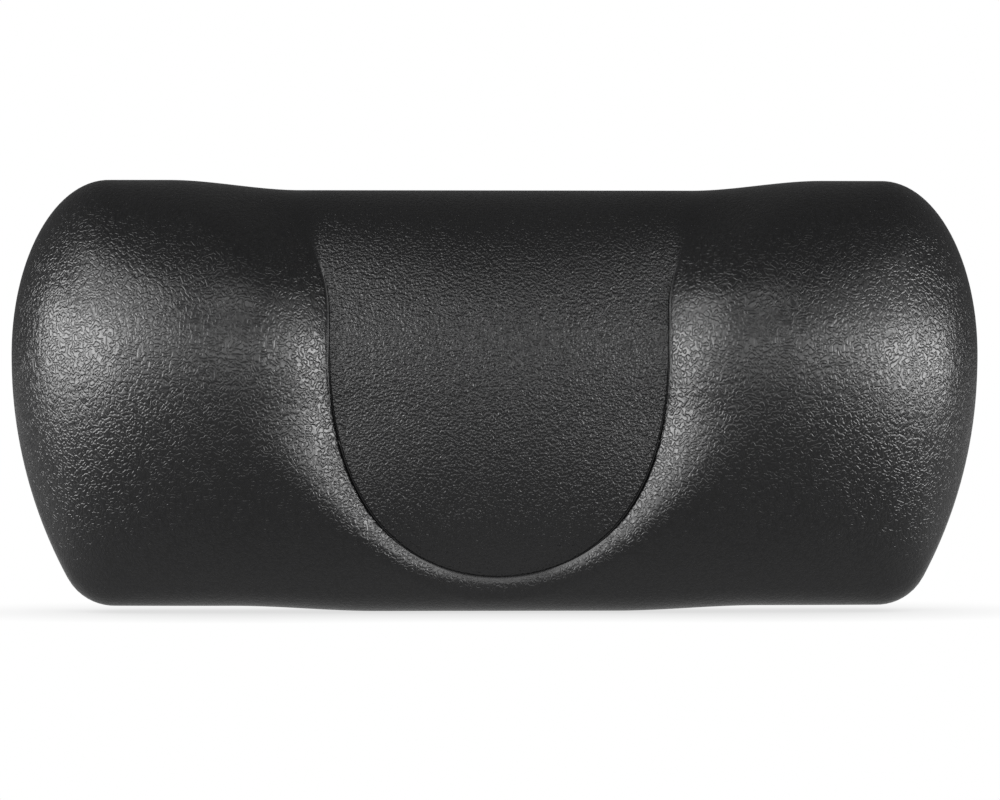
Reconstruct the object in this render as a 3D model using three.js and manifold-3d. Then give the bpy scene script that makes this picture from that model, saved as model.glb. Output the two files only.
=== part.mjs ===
// Bath pillow: a two-lobed head rest of self-skinned polyurethane foam with a U-shaped neck scoop,
// held on the bath by two clear suction cups that screw into the back of the foam.
// Sizes are millimetres. X runs along the pillow, +Y points at the bath's wall and +Z is up.
// The origin is midway between the suction cups' axes, in the plane of their sealing lips.
import * as THREE from "three";
import { mergeVertices, toCreasedNormals } from "three/addons/utils/BufferGeometryUtils.js";
import Module from "manifold-3d";

const wasm = await Module();
wasm.setup();

// Outline of the pillow, measured from its widest line, which is also the spine of its cross-sections
const LENGTH = 310;
const TOP_RISE = 56;
const BASE_DROP = 80;
const FRONT_REACH = 48;
const BACK_REACH = 24;
const TOP_END_LENGTH = 31;
const FRONT_END_LENGTH = 73;
const FRONT_END_POWER = 1.85;
const FRONT_END_ROOT = 0.58;
const BACK_END_LENGTH = 16;
const SIDE_RADIUS = 148;
const FRONT_RADIUS = 115;
const FOOT_RADIUS = 17;
const BACK_BROW_RISE = 26;
const BACK_FOOT_RISE = 18;
const BACK_FOOT_DEPTH = 20;
const BELLY_DROP = 1.7;
const BELLY_FLAT = 38;
const BELLY_END = 84;

// Neck scoop: a U-shaped crease with a gently crowned floor inside it and rolled flanks outside it
const SCOOP_HALF_WIDTH = 53.6;
const SCOOP_BOTTOM = 71.3;
const SCOOP_KNEE = 12;
const SCOOP_FLARE = 11;
const SCOOP_FLARE_RISE = 50;
const SCOOP_DEPTH = 13;
const SCOOP_FOOT_DEPTH = 3.5;
const SCOOP_BROW_DEPTH = 3.2;
const SCOOP_DEEPEST = 15;
const SCOOP_CROWN = 7;
const FLANK_WIDTH = 30;
const FLANK_FOOT_WIDTH = 5.5;
const FLANK_BROW_WIDTH = 42;

// Layers and clearances
const SKIN = 1.6;
const GAP = 0.3;
const OVERRUN = 2;

// Suction cups and their wells in the back of the pillow
const CUP_SPACING = 144;
const CUP_BELOW_SPINE = 11.5;
const CUP_RADIUS = 22;
const CUP_LIP_WIDTH = 2.5;
const CUP_LIP_EDGE = 0.9;
const CUP_DISH_DEPTH = 7;
const CUP_WALL = 2.2;
const CUP_PROUD = 6;
const HUB_RADIUS = 7.5;
const WELL_DEPTH = 10;
const WELL_CLEARANCE = 3.5;
const WELL_DRAFT = 1.2;

// Screwed fixing: a stud moulded in the cup's hub, a washer and a tee nut on its anchor disc
const STUD_RADIUS = 2.85;
const STUD_HEAD_RADIUS = 5;
const STUD_HEAD_THICKNESS = 1.6;
const STUD_ENGAGEMENT = 6.5;
const STUD_TIP_CHAMFER = 0.6;
const WASHER_RADIUS = 8;
const WASHER_THICKNESS = 1.2;
const NUT_WALL = 0.9;
const NUT_FLANGE_RADIUS = 7.6;
const NUT_FLANGE_THICKNESS = 2;
const DISC_RADIUS = 30;
const DISC_THICKNESS = 3;
const DISC_KEY_RADIUS = 4;
const DISC_KEY_CIRCLE = 21;
const SOCKET_WALL = 2.4;

// Numbers of facets and copies
const MIDDLE_STEPS = 11;
const END_STEPS = 6;
const ROUND_STEPS = 32;
const SMALL_ROUND_STEPS = 24;
const KEY_STEPS = 12;
const DISH_STEPS = 6;
const DISC_KEYS = 6;
const CROSSING_TRIES = 24;
const SMOOTH_ANGLE = 0.6;

const HALF_LENGTH = LENGTH / 2;
const SPINE_FORWARD = CUP_PROUD + BACK_REACH;
const QUARTER = Math.PI / 2;

const lerp = (a, b, t) => a + (b - a) * t;
const smooth = (t) => {
  const s = Math.min(Math.max(t, 0), 1);
  return s * s * (3 - 2 * s);
};

// Outline arcs of the front view and of the cross-section: a long side arc that runs into a foot arc.
// For a given reach from the spine and radius of the side arc it gives their centres and the angle
// at which they meet.
const footArcs = (reach, radius) => {
  const side = reach - radius;
  const rise = BASE_DROP - FOOT_RADIUS;
  const run = Math.sqrt((radius - FOOT_RADIUS) ** 2 - rise ** 2);
  return { side, foot: side + run, angle: Math.atan2(rise, run) };
};

// How much of a half extent is left at x, where the last stretch of the pillow closes as a quarter
// of an oval: an ellipse, unless another power and root are given.
const endShare = (x, stretch, power = 2, root = 0.5) => {
  const t = Math.max(Math.abs(x) - HALF_LENGTH + stretch, 0) / stretch;
  return Math.max(1 - t ** power, 0) ** root;
};

// Distance from the spine down to the base at x, with the shallow belly under the scoop.
const baseDrop = (x) => {
  const { side, foot, angle } = footArcs(HALF_LENGTH, SIDE_RADIUS);
  const reach = Math.abs(x);
  if (reach > side + SIDE_RADIUS * Math.cos(angle)) {
    return Math.sqrt(Math.max(SIDE_RADIUS ** 2 - (reach - side) ** 2, 0));
  }
  const round = Math.sqrt(FOOT_RADIUS ** 2 - Math.max(reach - foot, 0) ** 2);
  const belly = BELLY_DROP * smooth((BELLY_END - reach) / (BELLY_END - BELLY_FLAT));
  return BASE_DROP - FOOT_RADIUS + round + belly;
};

// One quarter ellipse of the cross-section: its points forward (u) and up (v) of the spine,
// with the outward direction there.
const ellipsePoint = (centreU, centreV, radiusU, radiusV, angle) => ({
  u: centreU + radiusU * Math.cos(angle),
  v: centreV + radiusV * Math.sin(angle),
  nu: Math.cos(angle) / radiusU,
  nv: Math.sin(angle) / radiusV,
});

// The closed cross-section, piece by piece from the brow down the back, along the base and up the front.
// climb is the place along the front that the scoop is laid out on: the height below the spine,
// and the girth over the brow above it.
const section = () => {
  const { side, foot, angle } = footArcs(FRONT_REACH, FRONT_RADIUS);
  const heel = BACK_FOOT_DEPTH - BACK_REACH;
  const browGirth = TOP_RISE * QUARTER;
  return [
    {
      steps: 2,
      at: (t) => ({
        u: -BACK_REACH,
        v: lerp(TOP_RISE - BACK_BROW_RISE, BACK_FOOT_RISE - BASE_DROP, t),
        nu: -1,
        nv: 0,
      }),
    },
    {
      steps: 3,
      at: (t) =>
        ellipsePoint(heel, BACK_FOOT_RISE - BASE_DROP, BACK_FOOT_DEPTH, BACK_FOOT_RISE, (2 + t) * QUARTER),
    },
    {
      steps: 1,
      at: (t) => ({ u: lerp(heel, foot, t), v: -BASE_DROP, nu: 0, nv: -1, climb: -BASE_DROP }),
    },
    {
      steps: 2,
      at: (t) => {
        const turn = lerp(-QUARTER, -angle, t);
        const point = ellipsePoint(foot, FOOT_RADIUS - BASE_DROP, FOOT_RADIUS, FOOT_RADIUS, turn);
        return { ...point, climb: point.v };
      },
    },
    {
      steps: 5,
      at: (t) => {
        const point = ellipsePoint(side, 0, FRONT_RADIUS, FRONT_RADIUS, (t - 1) * angle);
        return { ...point, climb: point.v };
      },
    },
    {
      steps: 5,
      at: (t) => ({
        ...ellipsePoint(0, 0, FRONT_REACH, TOP_RISE, t * QUARTER),
        climb: browGirth * t,
      }),
    },
    {
      steps: 3,
      at: (t) => ({
        ...ellipsePoint(0, TOP_RISE - BACK_BROW_RISE, BACK_REACH, BACK_BROW_RISE, (1 + t) * QUARTER),
        climb: browGirth + BACK_BROW_RISE * QUARTER * t,
      }),
    },
  ];
};

const SECTION = section();
const SECTION_STEPS = SECTION.reduce((sum, piece) => sum + piece.steps, 0);

// The cross-section at a place counted in steps, whole or in between.
const sectionAt = (place) => {
  let rest = place;
  for (const piece of SECTION) {
    if (rest <= piece.steps) return piece.at(rest / piece.steps);
    rest -= piece.steps;
  }
  return SECTION[0].at(0);
};

// Signed distance from the scoop's crease: negative on the floor, positive on the flanks.
const fromCrease = (x, climb) => {
  if (climb === undefined) return HALF_LENGTH;
  const reach = Math.abs(x);
  if (climb >= SCOOP_KNEE) {
    return reach - SCOOP_HALF_WIDTH - SCOOP_FLARE * smooth((climb - SCOOP_KNEE) / SCOOP_FLARE_RISE);
  }
  const height = SCOOP_KNEE + SCOOP_BOTTOM;
  const across = reach / SCOOP_HALF_WIDTH;
  const down = (SCOOP_KNEE - climb) / height;
  const level = Math.hypot(across, down ** 1.5);
  const slope = Math.hypot(across / SCOOP_HALF_WIDTH, (1.5 * down ** 2) / height) / level;
  return (level - 1) / slope;
};

// How far the surface lies below the plain bolster, along the section's own normal.
const scoopDepth = (x, climb) => {
  if (climb === undefined) return 0;
  const browGirth = TOP_RISE * QUARTER;
  const low = smooth((climb + SCOOP_BOTTOM) / (SCOOP_BOTTOM - SCOOP_DEEPEST));
  const high = smooth((climb - SCOOP_DEEPEST) / (browGirth - SCOOP_DEEPEST));
  const fade = 1 - smooth((climb - browGirth) / (BACK_BROW_RISE * QUARTER));
  const lowered = lerp(SCOOP_FOOT_DEPTH, SCOOP_DEPTH, low);
  const depth = lerp(lowered, SCOOP_BROW_DEPTH, high) * fade;
  const width = lerp(lerp(FLANK_FOOT_WIDTH, FLANK_WIDTH, low), FLANK_BROW_WIDTH, high);
  const away = fromCrease(x, climb) / width;
  if (away > 0) {
    const rolled = Math.max(1 - away, 0) ** 2;
    const eased = 1 - smooth(away);
    return depth * lerp(rolled, eased, high);
  }
  const across = x / (SCOOP_HALF_WIDTH + SCOOP_FLARE * high);
  const crown = SCOOP_CROWN * low * (1 - high) * Math.max(1 - across ** 2, 0);
  return depth - crown;
};

// A point of the pillow's outer surface at x and a place along the cross-section.
const surfacePoint = (x, place) => {
  const { u, v, nu, nv, climb } = sectionAt(place);
  const frontShare = endShare(x, FRONT_END_LENGTH, FRONT_END_POWER, FRONT_END_ROOT);
  const scaleU = u > 0 ? frontShare : endShare(x, BACK_END_LENGTH);
  const scaleV = v > 0 ? endShare(x, TOP_END_LENGTH) : baseDrop(x) / BASE_DROP;
  const depth = scaleU * scaleV > 0 ? scoopDepth(x, climb) : 0;
  const size = Math.hypot(nu, nv);
  return new THREE.Vector3(
    x,
    -SPINE_FORWARD - u * scaleU + (depth * nu) / size,
    CUP_BELOW_SPINE + v * scaleV - (depth * nv) / size,
  );
};

// Places along the length: even steps over the crests, then closing in towards each end.
const lengthPlaces = () => {
  const crest = HALF_LENGTH - FRONT_END_LENGTH;
  const end = Array.from({ length: END_STEPS }, (_, i) => {
    const turn = (QUARTER * (i + 1)) / END_STEPS;
    return crest + FRONT_END_LENGTH * Math.sin(turn);
  });
  const middle = Array.from({ length: MIDDLE_STEPS + 1 }, (_, i) => lerp(-crest, crest, i / MIDDLE_STEPS));
  return [...end.map((x) => -x).reverse(), ...middle, ...end];
};

// The grid of surface places, with each place nearest to the crease moved onto it.
const creasedGrid = () => {
  const grid = lengthPlaces().map((x) =>
    Array.from({ length: SECTION_STEPS }, (_, j) => ({ x, place: j, move: 1 })),
  );
  const distance = ({ x, place }) => fromCrease(x, sectionAt(place).climb);
  const between = (a, b, t) => ({ x: lerp(a.x, b.x, t), place: lerp(a.place, b.place, t) });
  const snap = (a, b) => {
    const start = distance(a);
    if (start * distance(b) >= 0) return;
    let low = 0;
    let high = 1;
    for (let i = 0; i < CROSSING_TRIES; i += 1) {
      const t = (low + high) / 2;
      if (distance(between(a, b, t)) * start > 0) low = t;
      else high = t;
    }
    const [near, share] = low < 0.5 ? [a, low] : [b, 1 - low];
    if (share < near.move) Object.assign(near, { move: share, target: between(a, b, low) });
  };
  grid.forEach((ring, i) => {
    ring.forEach((spot, j) => {
      const climb = sectionAt(j).climb;
      const next = j + 1 < SECTION_STEPS ? sectionAt(j + 1).climb : undefined;
      if (climb === undefined || climb > TOP_RISE * QUARTER) return;
      if (i + 1 < grid.length) snap(spot, grid[i + 1][j]);
      if (next !== undefined) snap(spot, ring[j + 1]);
    });
  });
  return grid.map((ring) => ring.map((spot) => ({ ...spot, ...spot.target, onCrease: Boolean(spot.target) })));
};

// Triangles of the closed skin: quads between rings, and a fan to the pole at each end.
const pillowGeometry = () => {
  const grid = creasedGrid();
  const rings = grid.slice(1, -1);
  const points = rings.flatMap((ring) => ring.map(({ x, place }) => surfacePoint(x, place)));
  const index = [];
  const at = (i, j) => i * SECTION_STEPS + (j % SECTION_STEPS);
  const creased = (i, j) => rings[i][j % SECTION_STEPS].onCrease;
  for (let i = 0; i + 1 < rings.length; i += 1) {
    for (let j = 0; j < SECTION_STEPS; j += 1) {
      const [a, b, c, d] = [at(i, j), at(i + 1, j), at(i + 1, j + 1), at(i, j + 1)];
      const alongAC = creased(i, j) && creased(i + 1, j + 1);
      const alongBD = creased(i + 1, j) && creased(i, j + 1);
      const shorterBD = points[b].distanceTo(points[d]) < points[a].distanceTo(points[c]);
      if (alongBD || (shorterBD && !alongAC)) index.push(a, b, d, b, c, d);
      else index.push(a, b, c, a, c, d);
    }
  }
  const poles = [-1, 1].map((side) => {
    points.push(new THREE.Vector3(side * HALF_LENGTH, -SPINE_FORWARD, CUP_BELOW_SPINE));
    return points.length - 1;
  });
  for (let j = 0; j < SECTION_STEPS; j += 1) {
    index.push(poles[0], at(0, j), at(0, j + 1));
    index.push(poles[1], at(rings.length - 1, j + 1), at(rings.length - 1, j));
  }
  const geometry = new THREE.BufferGeometry().setFromPoints(points);
  geometry.setIndex(index);
  geometry.computeVertexNormals();
  return geometry;
};

// The same skin moved inwards along its normals.
const shrunk = (geometry, by) => {
  const inner = geometry.clone();
  const position = inner.getAttribute("position");
  const normal = inner.getAttribute("normal");
  for (let i = 0; i < position.count; i += 1) {
    position.setXYZ(
      i,
      position.getX(i) - normal.getX(i) * by,
      position.getY(i) - normal.getY(i) * by,
      position.getZ(i) - normal.getZ(i) * by,
    );
  }
  return inner;
};

// Geometry to solid and back, for cuts and joins.
const solidOf = (geometry) => {
  const bare = geometry.clone();
  bare.deleteAttribute("normal");
  bare.deleteAttribute("uv");
  const merged = mergeVertices(bare);
  return new wasm.Manifold(
    new wasm.Mesh({
      numProp: 3,
      vertProperties: merged.getAttribute("position").array,
      triVerts: new Uint32Array(merged.index.array),
    }),
  );
};

const geometryOf = (solid) => {
  const { vertProperties, triVerts } = solid.getMesh();
  const geometry = new THREE.BufferGeometry();
  geometry.setAttribute("position", new THREE.BufferAttribute(vertProperties, 3));
  geometry.setIndex(new THREE.BufferAttribute(triVerts, 1));
  return toCreasedNormals(geometry, SMOOTH_ANGLE);
};

// A round body about the cup's axis from points of radius and distance forward of the wall,
// which run outwards on the side of the wall and back inwards on the other side.
const revolved = (profile, steps) =>
  new THREE.LatheGeometry(
    profile.map(([radius, forward]) => new THREE.Vector2(radius, -forward)).reverse(),
    steps,
  );

// A straight round or hexagonal bar along the cup's axis, between two distances forward of the wall.
const bar = (radius, from, to, steps = SMALL_ROUND_STEPS, endRadius = radius) =>
  new THREE.CylinderGeometry(radius, endRadius, to - from, steps).translate(0, -(from + to) / 2, 0);

const joined = (first, ...others) => others.reduce((sum, other) => sum.add(solidOf(other)), solidOf(first));
const cutBy = (solid, ...cutters) => cutters.reduce((left, cutter) => left.subtract(solidOf(cutter)), solid);

// Stack of the fixing, as distances forward of the wall
const WELL_FLOOR = CUP_PROUD + WELL_DEPTH;
const WASHER_FRONT = WELL_FLOOR - GAP;
const WASHER_BACK = WASHER_FRONT - WASHER_THICKNESS;
const HUB_TOP = WASHER_BACK - GAP;
const DISC_BACK = WELL_FLOOR + SKIN + GAP;
const DISC_FRONT = DISC_BACK + DISC_THICKNESS;
const NUT_SEAT = DISC_FRONT + GAP;
const NUT_FRONT = NUT_SEAT + NUT_FLANGE_THICKNESS;
const STUD_HEAD_FRONT = HUB_TOP - CUP_WALL;
const STUD_HEAD_BACK = STUD_HEAD_FRONT - STUD_HEAD_THICKNESS;
const STUD_TIP = WELL_FLOOR + STUD_ENGAGEMENT;
const NUT_BORE = STUD_RADIUS + GAP;
const NUT_RADIUS = NUT_BORE + NUT_WALL;
const SOCKET_RADIUS = NUT_FLANGE_RADIUS + GAP + SOCKET_WALL;
const WELL_RADIUS = CUP_RADIUS + WELL_CLEARANCE;

// Shape of a well in the back, grown by the layers that line it.
const wellCutter = (grow) =>
  bar(
    WELL_RADIUS - WELL_DRAFT + grow,
    CUP_PROUD - OVERRUN,
    WELL_FLOOR + grow,
    SMALL_ROUND_STEPS,
    WELL_RADIUS + grow,
  );

const cupPlaces = [-1, 1].map((side) => ({ name: side < 0 ? "left" : "right", x: (side * CUP_SPACING) / 2 }));
const atCup = (geometry, x) => geometry.translate(x, 0, 0);

const bolster = pillowGeometry();

// Leathery outer skin, all in one piece: it covers the foam and lines the wells, and each well's floor
// has the hole that the tee nut's barrel shows through.
const outerSkin = () => {
  let shell = solidOf(bolster);
  let hollow = solidOf(shrunk(bolster, SKIN));
  cupPlaces.forEach(({ x }) => {
    shell = cutBy(shell, atCup(wellCutter(0), x));
    hollow = cutBy(hollow, atCup(wellCutter(SKIN), x));
  });
  const skin = shell.subtract(hollow);
  const holes = cupPlaces.map(({ x }) =>
    atCup(bar(NUT_RADIUS + GAP, WELL_FLOOR - OVERRUN, WELL_FLOOR + SKIN + OVERRUN), x),
  );
  return geometryOf(cutBy(skin, ...holes));
};

// The six holes of an anchor disc, as bars of the given radius.
const discKeys = (radius, from, to) =>
  Array.from({ length: DISC_KEYS }, (_, i) => {
    const turn = ((i + 0.5) * 4 * QUARTER) / DISC_KEYS;
    return bar(radius, from, to, KEY_STEPS).translate(
      DISC_KEY_CIRCLE * Math.cos(turn),
      0,
      DISC_KEY_CIRCLE * Math.sin(turn),
    );
  });

// Foam core: fills the skin, wraps each anchor disc and grows through its key holes.
const foamCore = () => {
  let core = solidOf(shrunk(bolster, SKIN + GAP));
  cupPlaces.forEach(({ x }) => {
    const disc = bar(DISC_RADIUS + GAP, DISC_BACK - GAP, DISC_FRONT + GAP);
    const pegs = discKeys(DISC_KEY_RADIUS - GAP, DISC_BACK - GAP - OVERRUN, DISC_FRONT + GAP + OVERRUN);
    const pocket = cutBy(solidOf(disc), ...pegs);
    const socket = bar(SOCKET_RADIUS + GAP, DISC_FRONT, NUT_FRONT + GAP);
    const well = wellCutter(SKIN + GAP);
    core = cutBy(core, atCup(well, x), atCup(socket, x)).subtract(pocket.translate(x, 0, 0));
  });
  return geometryOf(core);
};

// Anchor disc: a stiff plastic disc in the foam, with a hexagonal socket that keeps the nut from turning.
const anchorDisc = () => {
  const body = joined(
    bar(DISC_RADIUS, DISC_BACK, DISC_FRONT),
    bar(SOCKET_RADIUS, DISC_FRONT - OVERRUN, NUT_FRONT),
  );
  return geometryOf(
    cutBy(
      body,
      bar(NUT_FLANGE_RADIUS + GAP, DISC_FRONT, NUT_FRONT + OVERRUN, 6),
      bar(NUT_RADIUS + GAP, DISC_BACK - OVERRUN, DISC_FRONT + OVERRUN),
      ...discKeys(DISC_KEY_RADIUS, DISC_BACK - OVERRUN, DISC_FRONT + OVERRUN),
    ),
  );
};

// Tee nut: a hexagonal flange with a threaded barrel that ends flush with the well's floor.
const teeNut = () => {
  const body = joined(
    bar(NUT_FLANGE_RADIUS, NUT_SEAT, NUT_FRONT, 6),
    bar(NUT_RADIUS, WELL_FLOOR, NUT_FRONT),
  );
  return geometryOf(cutBy(body, bar(NUT_BORE, WELL_FLOOR - OVERRUN, NUT_FRONT + OVERRUN)));
};

// Washer between the well's floor and the cup's hub.
const washer = () =>
  revolved(
    [
      [NUT_BORE, WASHER_BACK],
      [WASHER_RADIUS, WASHER_BACK],
      [WASHER_RADIUS, WASHER_FRONT],
      [NUT_BORE, WASHER_FRONT],
      [NUT_BORE, WASHER_BACK],
    ],
    ROUND_STEPS,
  );

// Suction cup: a flat sealing lip, a dished skirt and a hub that is moulded round the stud's head.
const suctionCup = () => {
  const dishRadius = CUP_RADIUS - CUP_LIP_WIDTH;
  const dish = (radius) => CUP_DISH_DEPTH * (1 - (radius / dishRadius) ** 2);
  const dishShares = Array.from({ length: DISH_STEPS + 1 }, (_, i) => i / DISH_STEPS);
  const inside = dishShares.map((share) => [dishRadius * share, dish(dishRadius * share)]);
  const outside = dishShares.map((share) => {
    const radius = lerp(CUP_RADIUS, HUB_RADIUS, share);
    const skirt = dish(Math.min(radius, dishRadius)) + lerp(CUP_LIP_EDGE, CUP_WALL, share);
    return [radius, skirt];
  });
  const body = revolved([...inside, [CUP_RADIUS, 0], ...outside, [HUB_RADIUS, HUB_TOP], [0, HUB_TOP]], ROUND_STEPS);
  return geometryOf(
    cutBy(
      solidOf(body),
      bar(STUD_HEAD_RADIUS + GAP, STUD_HEAD_BACK - GAP, STUD_HEAD_FRONT + GAP),
      bar(NUT_BORE, STUD_HEAD_FRONT, HUB_TOP + OVERRUN),
    ),
  );
};

// Stud: a threaded rod with a flat round head.
const stud = () =>
  revolved(
    [
      [0, STUD_HEAD_BACK],
      [STUD_HEAD_RADIUS, STUD_HEAD_BACK],
      [STUD_HEAD_RADIUS, STUD_HEAD_FRONT],
      [STUD_RADIUS, STUD_HEAD_FRONT],
      [STUD_RADIUS, STUD_TIP - STUD_TIP_CHAMFER],
      [STUD_RADIUS - STUD_TIP_CHAMFER, STUD_TIP],
      [0, STUD_TIP],
    ],
    SMALL_ROUND_STEPS,
  );

const blackSkin = new THREE.MeshStandardMaterial({ color: 0x1b1b1c, roughness: 0.48, metalness: 0 });
const foam = new THREE.MeshStandardMaterial({ color: 0x3a3a3b, roughness: 0.95, metalness: 0 });
const nylon = new THREE.MeshStandardMaterial({ color: 0xd9d6cc, roughness: 0.55, metalness: 0 });
const zincSteel = new THREE.MeshStandardMaterial({ color: 0xb9bcc0, roughness: 0.3, metalness: 1 });
const clearVinyl = new THREE.MeshStandardMaterial({
  color: 0xdfe6e8,
  roughness: 0.15,
  metalness: 0,
  transparent: true,
  opacity: 0.45,
});

const named = (name, geometry, material) => {
  const mesh = new THREE.Mesh(geometry, material);
  mesh.name = name;
  return mesh;
};

const pillow = new THREE.Group();
pillow.add(named("outer_skin", outerSkin(), blackSkin));
pillow.add(named("foam_core", foamCore(), foam));
cupPlaces.forEach(({ name, x }) => {
  const fixing = new THREE.Group();
  fixing.position.x = x;
  fixing.add(named(`anchor_disc_${name}`, anchorDisc(), nylon));
  fixing.add(named(`tee_nut_${name}`, teeNut(), zincSteel));
  fixing.add(named(`washer_${name}`, washer(), zincSteel));
  fixing.add(named(`suction_cup_${name}`, suctionCup(), clearVinyl));
  fixing.add(named(`stud_${name}`, stud(), zincSteel));
  pillow.add(fixing);
});

export default pillow;
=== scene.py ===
"""A black bath pillow of self-skinned foam, seen from the front in a plain white studio."""

import math

import bmesh
import bpy
import numpy as np
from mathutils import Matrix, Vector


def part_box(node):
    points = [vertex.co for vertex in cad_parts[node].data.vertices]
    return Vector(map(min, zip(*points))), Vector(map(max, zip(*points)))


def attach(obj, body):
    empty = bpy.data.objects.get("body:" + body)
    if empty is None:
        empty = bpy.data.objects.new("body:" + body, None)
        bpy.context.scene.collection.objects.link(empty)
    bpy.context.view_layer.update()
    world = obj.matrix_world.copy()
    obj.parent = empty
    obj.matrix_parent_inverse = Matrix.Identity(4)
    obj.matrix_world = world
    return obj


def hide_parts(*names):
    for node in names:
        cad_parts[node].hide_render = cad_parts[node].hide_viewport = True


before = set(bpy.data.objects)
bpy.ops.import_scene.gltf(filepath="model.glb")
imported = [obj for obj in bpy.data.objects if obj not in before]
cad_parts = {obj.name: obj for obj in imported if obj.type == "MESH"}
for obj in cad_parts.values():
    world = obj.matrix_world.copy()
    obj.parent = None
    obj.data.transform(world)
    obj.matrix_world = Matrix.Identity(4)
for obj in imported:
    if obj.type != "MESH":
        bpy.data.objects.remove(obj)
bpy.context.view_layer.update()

# Camera
# The photograph looks at the pillow's front from pillow height and a little to its left, with a long
# lens. The places in it are where the pillow's two ends and its widest line lie.
PHOTO_SIZE = (1000, 800)
PHOTO_ENDS = (13.0, 979.0)
PHOTO_WIDEST_ROW = 355.0
WIDEST_LINE_HEIGHT = 0.0115
SPINE_PLANE = -0.030
CAMERA_DISTANCE = 1.4
CAMERA_BEARING = math.radians(-1.7)
SENSOR_MILLIMETRES = 36.0
QUARTER = math.pi / 2

scene = bpy.context.scene
skin_low, skin_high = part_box("outer_skin")
metres_per_pixel = (skin_high.x - skin_low.x) / (PHOTO_ENDS[1] - PHOTO_ENDS[0])
aside = (PHOTO_SIZE[0] - sum(PHOTO_ENDS)) / 2 * metres_per_pixel

camera_data = bpy.data.cameras.new("photo_camera")
camera_data.sensor_width = SENSOR_MILLIMETRES
camera_data.lens = SENSOR_MILLIMETRES * CAMERA_DISTANCE / (PHOTO_SIZE[0] * metres_per_pixel)
camera = bpy.data.objects.new("photo_camera", camera_data)
camera.location = (
    CAMERA_DISTANCE * math.sin(CAMERA_BEARING) + aside * math.cos(CAMERA_BEARING),
    SPINE_PLANE - CAMERA_DISTANCE * math.cos(CAMERA_BEARING) + aside * math.sin(CAMERA_BEARING),
    WIDEST_LINE_HEIGHT + (PHOTO_WIDEST_ROW - PHOTO_SIZE[1] / 2) * metres_per_pixel,
)
camera.rotation_euler = (QUARTER, 0.0, CAMERA_BEARING)
scene.collection.objects.link(camera)
scene.camera = camera
scene.view_settings.view_transform = "Standard"

# Studio
# A pale floor at the pillow's base under white air. Softboxes at both sides, at pillow height and above,
# light the two lobes, and weaker ones nearer the camera fill the neck scoop between them.
FLOOR_DROP = 0.0005
FLOOR_SIZE = 6.0
FLOOR_CORNERS = ((-1, -1), (1, -1), (1, 1), (-1, 1))
FLOOR_PAINT = (0.8, 0.8, 0.8, 1.0)
FLOOR_SHADOW_REACH = 0.05
FLOOR_SHADOW_TONE = 0.72
FLOOR_PAINTED_REFLECTION_FRONT = 0.28
FLOOR_PAINTED_REFLECTION_REAR = 0.45
FLOOR_TURN = (-0.10, -0.03)
AIR_TONE = (1.0, 1.0, 1.0, 1.0)
AIR_MIRRORED = 0.14
AIR_LIT = 0.14
SOFTBOX_DISTANCE = 1.1
SOFTBOXES = (
    # name, bearing and rise in degrees, width, height, watts
    ("softbox_left", -65.0, 2.0, 0.38, 0.34, 4.3),
    ("softbox_left_side", -85.0, 3.0, 0.38, 0.37, 4.1),
    ("softbox_left_upper", -55.0, 22.0, 0.76, 0.48, 3.3),
    ("softbox_right", 65.0, -1.0, 0.38, 0.34, 4.9),
    ("softbox_right_side", 85.0, -2.0, 0.38, 0.30, 3.8),
    ("softbox_right_upper", 55.0, 22.0, 0.76, 0.48, 0.8),
    ("fill_left", -40.0, 3.0, 0.58, 0.37, 1.7),
    ("fill_right", 40.0, 3.0, 0.58, 0.37, 2.4),
    ("fill_front", 0.0, 3.0, 0.86, 0.37, 2.2),
    ("fill_upper", 0.0, 30.0, 0.76, 0.18, 1.2),
)


def feed(tree, target, value):
    """Sets an input to a value, or links it to another node's output."""
    if isinstance(value, bpy.types.NodeSocket):
        tree.links.new(value, target)
    else:
        target.default_value = value


def add_node(tree, kind, inputs=None, **settings):
    """A shader node with the given settings, and with its inputs, by name or number, fed."""
    node = tree.nodes.new("ShaderNode" + kind)
    for key, value in settings.items():
        setattr(node, key, value)
    for key, value in (inputs or {}).items():
        feed(tree, node.inputs[key], value)
    return node


def math_node(tree, operation, *values):
    """The output of a math node on outputs or numbers."""
    return add_node(tree, "Math", dict(enumerate(values)), operation=operation).outputs[0]


def ramp_node(tree, value, low, high, to_low, to_high, kind="SMOOTHSTEP"):
    """The output of a map range node from low..high to to_low..to_high."""
    inputs = {"Value": value, "From Min": low, "From Max": high, "To Min": to_low, "To Max": to_high}
    return add_node(tree, "MapRange", inputs, interpolation_type=kind).outputs["Result"]


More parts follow.
